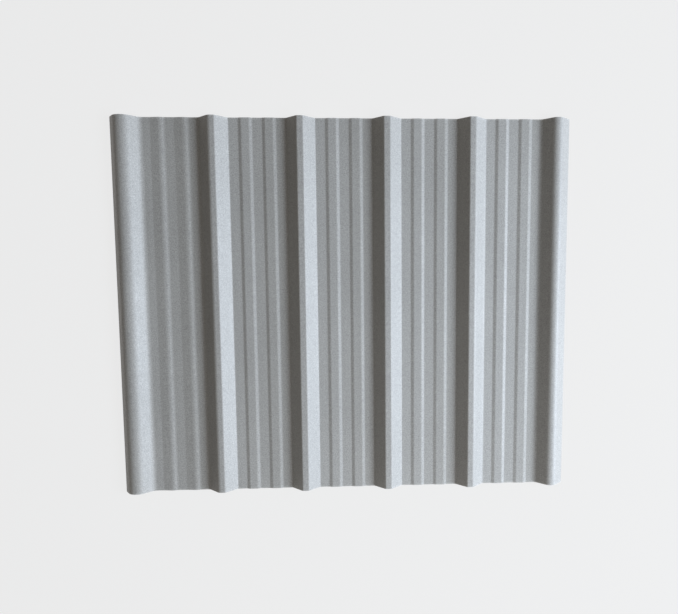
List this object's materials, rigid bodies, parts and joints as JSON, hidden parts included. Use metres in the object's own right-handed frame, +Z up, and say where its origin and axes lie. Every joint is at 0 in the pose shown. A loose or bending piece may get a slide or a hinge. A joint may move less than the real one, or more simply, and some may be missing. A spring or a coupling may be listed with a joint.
{
  "type": "roofing sheet",
  "caption": "Trapezoidal roofing sheet in matt pale grey PVC, with tall main ribs and pairs of low stiffening ribs in its pans, cut square at both ends.",
  "frame": {"origin": "on the floor under the middle of the sheet, in the plane of the pans' undersides", "axes": "+X across the sheet, from rib to rib; +Y along the ribs, up the roof's slope; +Z up, out of the weather side"},
  "size_m": [1.1189, 0.925, 0.027],
  "materials": {
    "sheet": "fine-grained matt rigid PVC, pale grey all through"
  },
  "bodies": {
    "root": {"roofing_sheet": "sheet"}
  },
  "joints": []
}
